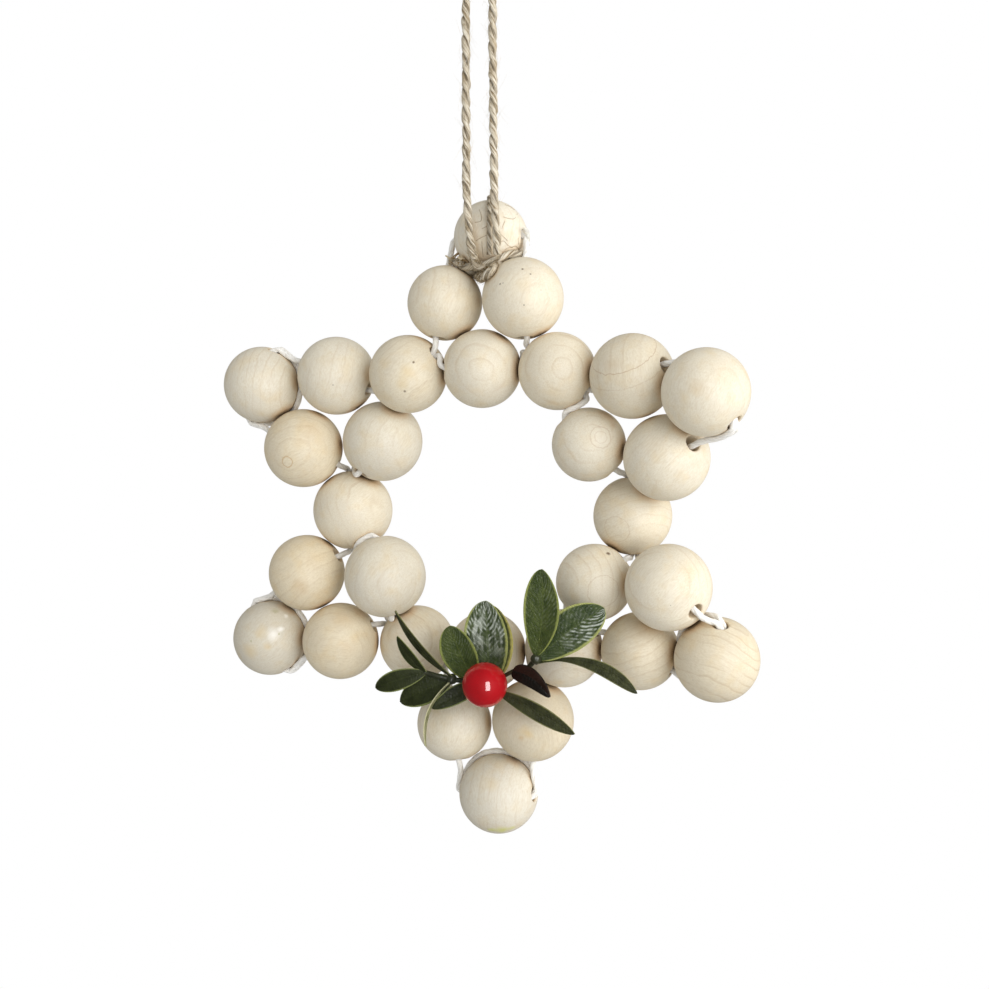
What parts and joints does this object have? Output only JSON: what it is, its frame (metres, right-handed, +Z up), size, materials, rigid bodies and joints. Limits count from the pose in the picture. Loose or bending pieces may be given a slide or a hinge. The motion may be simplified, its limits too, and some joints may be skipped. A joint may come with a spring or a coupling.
{
  "type": "wooden bead star ornament",
  "caption": "Six-pointed hanging star of pale wooden beads tied with white string, with a sprig of moulded green leaves and a red berry, on a loop of jute twine.",
  "frame": {"origin": "inner top of the twine loop, where a hook or nail bears", "axes": "+Z up along the hanging line, the star lies in the XZ plane and its front with the sprig faces -Y"},
  "size_m": [0.1456, 0.0411, 0.2305],
  "materials": {
    "pale_wood": "bare turned wood, sanded, no varnish",
    "white_cotton": "plied white cotton string",
    "jute_twine": "two-ply jute twine, hairy",
    "leaf_green": "moulded plastic leaf, satin, pale green rim",
    "leaf_maroon": "moulded plastic leaf, satin, dark red",
    "berry_red": "glossy lacquered berry"
  },
  "bodies": {
    "root": {"berry": "berry_red", "corner_bottom_left": "pale_wood", "corner_bottom_right": "pale_wood", "corner_left": "pale_wood", "corner_right": "pale_wood", "corner_top_left": "pale_wood", "corner_top_right": "pale_wood", "leaf_spray_left": "leaf_green", "leaf_spray_right": "leaf_green", "maroon_leaf": "leaf_maroon", "point_string": "white_cotton", "ring_string": "white_cotton", "shoulder_bottom_ccw": "pale_wood", "shoulder_bottom_cw": "pale_wood", "shoulder_lower_left_ccw": "pale_wood", "shoulder_lower_left_cw": "pale_wood", "shoulder_lower_right_ccw": "pale_wood", "shoulder_lower_right_cw": "pale_wood", "shoulder_top_ccw": "pale_wood", "shoulder_top_cw": "pale_wood", "shoulder_upper_left_ccw": "pale_wood", "shoulder_upper_left_cw": "pale_wood", "shoulder_upper_right_ccw": "pale_wood", "shoulder_upper_right_cw": "pale_wood", "side_bottom": "pale_wood", "side_lower_left": "pale_wood", "side_lower_right": "pale_wood", "side_top": "pale_wood", "side_upper_left": "pale_wood", "side_upper_right": "pale_wood", "tie_bottom": "white_cotton", "tie_lower_left": "white_cotton", "tie_lower_right": "white_cotton", "tie_upper_left": "white_cotton", "tie_upper_right": "white_cotton", "tip_bottom": "pale_wood", "tip_lower_left": "pale_wood", "tip_lower_right": "pale_wood", "tip_top": "pale_wood", "tip_upper_left": "pale_wood", "tip_upper_right": "pale_wood", "twine_hitch": "jute_twine", "twine_loop": "jute_twine", "twine_over_bead": "jute_twine"}
  },
  "joints": []
}
